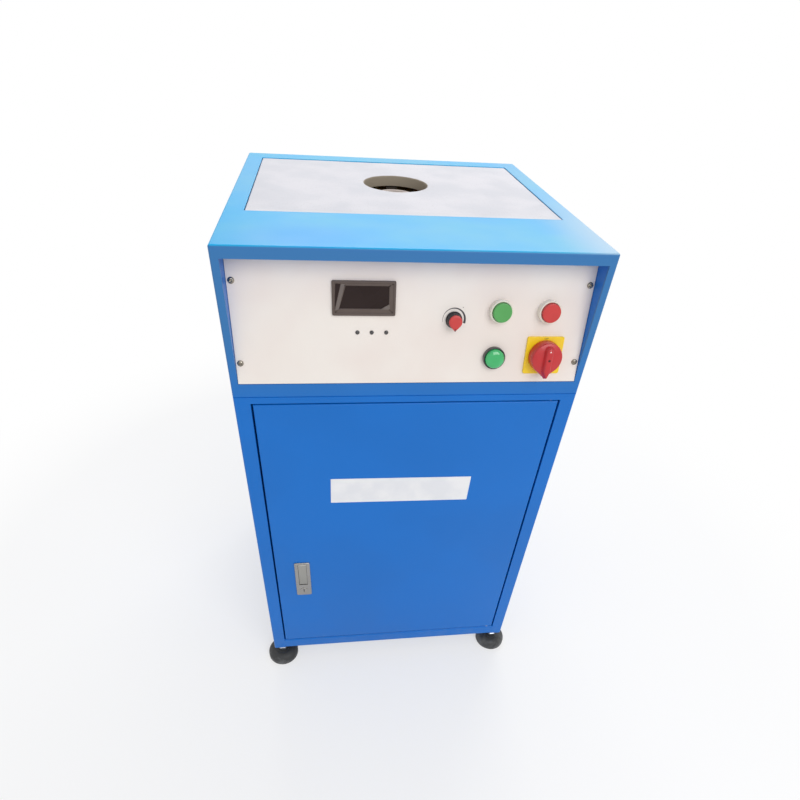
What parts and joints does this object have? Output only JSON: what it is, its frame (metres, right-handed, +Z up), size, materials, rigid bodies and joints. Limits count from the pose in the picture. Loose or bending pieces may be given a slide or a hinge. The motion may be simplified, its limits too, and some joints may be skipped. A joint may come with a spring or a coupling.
{
  "type": "electric gold melting furnace",
  "caption": "Floor-standing induction furnace for melting gold: blue steel cabinet with a hinged lockable door, tilted control panel, and a crucible under a round charge opening in the top.",
  "frame": {"origin": "on the floor under the middle of the cabinet", "axes": "+Z up, the front with the door and the control panel faces -Y, +X is to the right as seen from the front"},
  "size_m": [0.51, 0.5289, 0.848],
  "materials": {
    "cabinet_blue": "fine orange-peel powder coat, satin",
    "panel_white": "smooth satin paint",
    "heat_board": "rough pressed fibre board, matt",
    "refractory": "cast refractory, matt",
    "graphite": "dull graphite, matt",
    "copper": "bare copper, slightly dulled",
    "brass_fittings": "machined brass",
    "zinc_steel": "zinc-plated steel",
    "lock_chrome": "satin chrome on a zinc casting",
    "bare_aluminium": "extruded, satin",
    "black_plastic": "moulded, matt",
    "meter_plastic": "moulded, fine texture",
    "dark_window": "smoked, glossy",
    "dark_lens": "unlit, glossy",
    "cream_plastic": "moulded, satin",
    "green_plastic": "moulded, satin",
    "red_plastic": "moulded, satin",
    "green_lens": "translucent moulding, glossy",
    "yellow_plastic": "moulded, satin",
    "ferrite": "sintered, matt",
    "board_green": "solder-masked board with its components",
    "hose_rubber": "smooth hose rubber",
    "foot_rubber": "moulded rubber, matt"
  },
  "bodies": {
    "cabinet": {"board_ledge": "zinc_steel", "busbars": "copper", "button_heads": "cream_plastic", "cable_gland": "black_plastic", "capacitors": "bare_aluminium", "coil_posts": "heat_board", "contact_blocks": "black_plastic", "contactor": "black_plastic", "control_board": "board_green", "control_panel": "panel_white", "cooling_hoses": "hose_rubber", "cover_screws": "zinc_steel", "equipment_plate": "zinc_steel", "fan_guard": "black_plastic", "fan_housing": "black_plastic", "floor_pan": "cabinet_blue", "furnace_lining": "refractory", "hearth_base": "refractory", "heat_sink": "bare_aluminium", "hinge_pins": "zinc_steel", "indicator_lamps": "dark_lens", "induction_coil": "copper", "lead_board": "heat_board", "left_side_panel": "cabinet_blue", "meter_housing": "meter_plastic", "meter_window": "dark_window", "middle_shelf": "cabinet_blue", "pilot_lamp_bezel": "black_plastic", "pilot_lamp_lens": "green_lens", "potentiometer": "zinc_steel", "power_modules": "black_plastic", "rear_panel": "cabinet_blue", "right_side_panel": "cabinet_blue", "switch_body": "black_plastic", "switch_plate": "yellow_plastic", "top_board": "heat_board", "transformer_core": "ferrite", "transformer_windings": "copper", "upper_casing": "cabinet_blue", "water_fittings": "brass_fittings"},
    "door": {"door_panel": "cabinet_blue", "lock_case": "lock_chrome"},
    "lock_lever": {"lock_lever": "lock_chrome"},
    "lock_cylinder": {"lock_cylinder": "lock_chrome", "lock_cam": "zinc_steel"},
    "start_button": {"start_button": "green_plastic"},
    "stop_button": {"stop_button": "red_plastic"},
    "power_knob": {"knob_body": "black_plastic", "knob_cap": "red_plastic"},
    "main_switch": {"switch_handle": "red_plastic"},
    "fan_rotor": {"fan_rotor": "black_plastic"},
    "crucible": {"crucible": "graphite"},
    "front_left_foot": {"front_left_foot_pad": "foot_rubber", "front_left_foot_stud": "zinc_steel"},
    "front_right_foot": {"front_right_foot_pad": "foot_rubber", "front_right_foot_stud": "zinc_steel"},
    "rear_left_foot": {"rear_left_foot_pad": "foot_rubber", "rear_left_foot_stud": "zinc_steel"},
    "rear_right_foot": {"rear_right_foot_pad": "foot_rubber", "rear_right_foot_stud": "zinc_steel"}
  },
  "joints": [
    {"name": "door_hinge", "type": "hinge", "parent": "cabinet", "child": "door", "pos_m": [0.2055, -0.234, 0.354], "axis": [0, 0, 1], "range_deg": [0, 110]},
    {"name": "lever_pivot", "type": "hinge", "parent": "door", "child": "lock_lever", "pos_m": [-0.1695, -0.237, 0.299], "axis": [-1, 0, 0], "range_deg": [0, 40]},
    {"name": "cylinder_turn", "type": "hinge", "parent": "door", "child": "lock_cylinder", "pos_m": [-0.1695, -0.24, 0.232], "axis": [0, 1, 0], "range_deg": [0, 90]},
    {"name": "start_press", "type": "slide", "parent": "cabinet", "child": "start_button", "axis": [0, 0.9845, -0.1754], "range_m": [0, 0.004], "stiffness_N_per_m": 400, "springref_m": -0.002},
    {"name": "stop_press", "type": "slide", "parent": "cabinet", "child": "stop_button", "axis": [0, 0.9845, -0.1754], "range_m": [0, 0.004], "stiffness_N_per_m": 400, "springref_m": -0.002},
    {"name": "power_turn", "type": "hinge", "parent": "cabinet", "child": "power_knob", "pos_m": [0.049, -0.22492, 0.75592], "axis": [0, 0.9845, -0.1754], "range_deg": [0, 300]},
    {"name": "main_switch_turn", "type": "hinge", "parent": "cabinet", "child": "main_switch", "pos_m": [0.177, -0.23316, 0.70965], "axis": [0, 0.9845, -0.1754], "range_deg": [0, 90]},
    {"name": "fan_spin", "type": "hinge", "parent": "cabinet", "child": "fan_rotor", "pos_m": [0, 0.215, 0.3], "axis": [0, 1, 0], "continuous": true},
    {"name": "crucible_lift", "type": "slide", "parent": "cabinet", "child": "crucible", "axis": [0, 0, 1], "range_m": [0, 0.2]},
    {"name": "front_left_foot_screw", "type": "slide", "parent": "cabinet", "child": "front_left_foot", "axis": [0, 0, -1], "range_m": [0, 0.015]},
    {"name": "front_right_foot_screw", "type": "slide", "parent": "cabinet", "child": "front_right_foot", "axis": [0, 0, -1], "range_m": [0, 0.015]},
    {"name": "rear_left_foot_screw", "type": "slide", "parent": "cabinet", "child": "rear_left_foot", "axis": [0, 0, -1], "range_m": [0, 0.015]},
    {"name": "rear_right_foot_screw", "type": "slide", "parent": "cabinet", "child": "rear_right_foot", "axis": [0, 0, -1], "range_m": [0, 0.015]}
  ]
}
